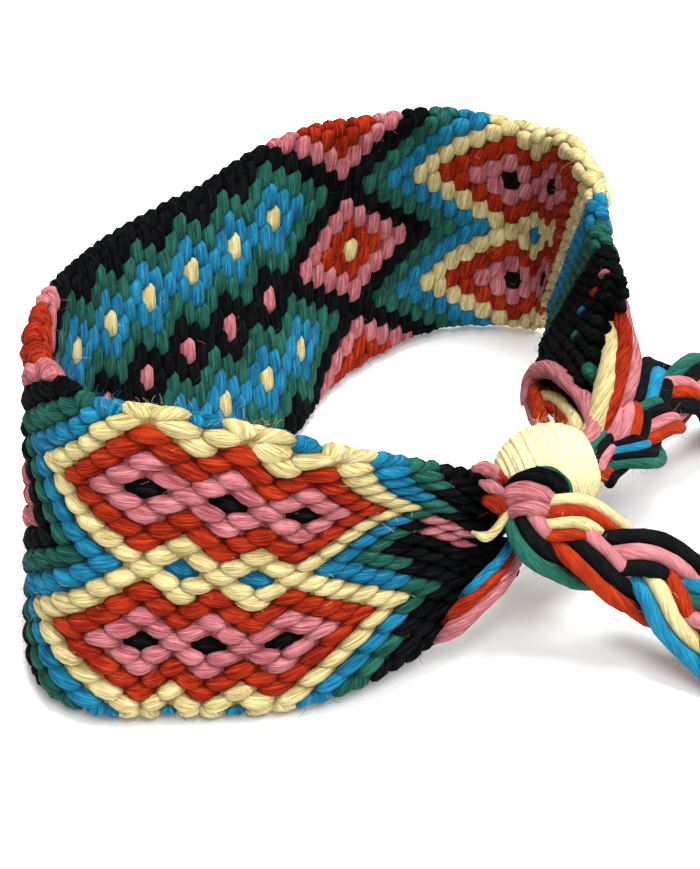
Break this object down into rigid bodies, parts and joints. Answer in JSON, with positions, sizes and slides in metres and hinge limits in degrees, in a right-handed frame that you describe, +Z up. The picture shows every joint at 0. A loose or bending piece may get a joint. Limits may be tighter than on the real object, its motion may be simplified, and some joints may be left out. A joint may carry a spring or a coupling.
{
  "type": "string bracelet",
  "caption": "Wide knotted string bracelet with a diamond and zigzag pattern, its ends gathered into a round wound wrap with braided ties.",
  "frame": {"origin": "on the surface, under the middle of the band, gathered strings and wrap, without the ties", "axes": "+Z up across the band, towards its free upper edge; +X towards the wrap and ties; +Y towards the back of the loop"},
  "size_m": [0.0948, 0.0681, 0.0301],
  "materials": {
    "black_yarn": "fuzzy matt yarn",
    "green_yarn": "fuzzy matt yarn",
    "blue_yarn": "fuzzy matt yarn",
    "yellow_yarn": "fuzzy matt yarn",
    "orange_yarn": "fuzzy matt yarn",
    "pink_yarn": "fuzzy matt yarn"
  },
  "bodies": {
    "root": {"band": "black_yarn", "front_strings": "pink_yarn", "back_strings": "orange_yarn", "wrap": "yellow_yarn", "front_tie_1": "green_yarn", "front_tie_2": "yellow_yarn", "front_tie_3": "black_yarn", "front_tie_end": "pink_yarn", "back_tie_1": "blue_yarn", "back_tie_2": "pink_yarn", "back_tie_3": "black_yarn", "back_tie_end": "blue_yarn"}
  },
  "joints": []
}
